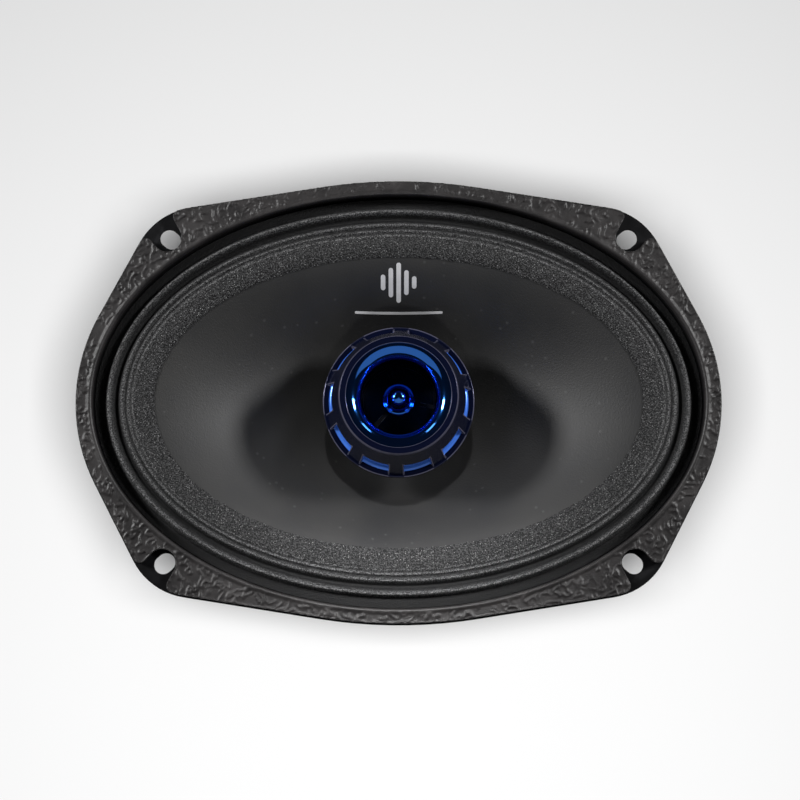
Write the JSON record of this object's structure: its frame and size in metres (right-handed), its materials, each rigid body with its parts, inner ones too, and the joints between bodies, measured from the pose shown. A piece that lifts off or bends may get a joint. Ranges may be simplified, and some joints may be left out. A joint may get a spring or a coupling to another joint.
{
  "type": "coaxial car speaker",
  "caption": "Oval two-way coaxial car speaker: steel basket with embossed gasket, paper cone and a blue bullet tweeter on its pole.",
  "frame": {"origin": "centre of the oval mounting flange, on its rear face", "axes": "+Z out of the front of the speaker, +X along the long axis, +Y along the short axis"},
  "size_m": [0.235, 0.163, 0.092],
  "materials": {
    "black_steel": "black satin paint on pressed steel",
    "gasket_foam": "embossed dark grey gasket",
    "surround_cloth": "doped black cloth",
    "spider_cloth": "varnished corrugated cloth",
    "cone_paper": "black pressed paper",
    "former_foil": "thin bare foil",
    "copper_wire": null,
    "plated_steel": "zinc plated",
    "ferrite": "sintered, bare",
    "neodymium": "nickel plated",
    "phenolic": "brown fibre board",
    "tinned_brass": "tinned",
    "solder": "solder joint",
    "tinsel_braid": "copper tinsel on a textile core",
    "capacitor_film": "shrink sleeve",
    "hot_glue": "cloudy adhesive",
    "wire_red": "insulation",
    "wire_black": "insulation",
    "alloy": "turned",
    "black_plastic": "moulded",
    "foam": "closed-cell foam",
    "dome_film": "thin metal film",
    "blue_chrome": "blue tinted bright plating",
    "dark_blue_chrome": "dark blue tinted bright plating",
    "black_oxide": "black oxide"
  },
  "bodies": {
    "frame": {"basket": "black_steel", "gasket": "gasket_foam", "surround": "surround_cloth", "spider": "spider_cloth", "top_plate": "plated_steel", "magnet_ring": "ferrite", "t_yoke": "plated_steel", "motor_rivets": "plated_steel", "terminal_board": "phenolic", "board_rivets": "tinned_brass", "terminal_positive": "tinned_brass", "terminal_negative": "tinned_brass", "tab_rivets": "tinned_brass", "lead_positive": "tinsel_braid", "lead_negative": "tinsel_braid", "capacitor": "capacitor_film", "capacitor_adhesive": "hot_glue", "tweeter_wire_positive": "wire_red", "tweeter_wire_negative": "wire_black", "tweeter_post": "alloy", "post_screws": "black_oxide", "tweeter_back_cover": "black_plastic", "tweeter_foam_pad": "foam", "tweeter_terminal_strip": "phenolic", "tweeter_pot": "plated_steel", "tweeter_magnet": "neodymium", "tweeter_pole_plate": "plated_steel", "tweeter_suspension": "dome_film", "tweeter_horn": "blue_chrome", "bullet": "blue_chrome", "bullet_bridge": "black_plastic", "tweeter_bezel": "dark_blue_chrome", "bezel_screws": "black_oxide"},
    "cone": {"cone": "cone_paper", "voice_coil_former": "former_foil", "voice_coil_winding": "copper_wire", "lead_joints": "solder"},
    "dome": {"tweeter_diaphragm": "dome_film", "tweeter_voice_coil": "copper_wire"}
  },
  "joints": [
    {"name": "cone_travel", "type": "slide", "parent": "frame", "child": "cone", "axis": [0, 0, 1], "range_m": [-0.004, 0.004], "stiffness_N_per_m": 4000, "deforming": ["surround", "spider", "lead_positive", "lead_negative"]},
    {"name": "dome_travel", "type": "slide", "parent": "frame", "child": "dome", "axis": [0, 0, 1], "range_m": [-0.0002, 0.0002], "stiffness_N_per_m": 4000, "deforming": ["tweeter_suspension"]}
  ]
}
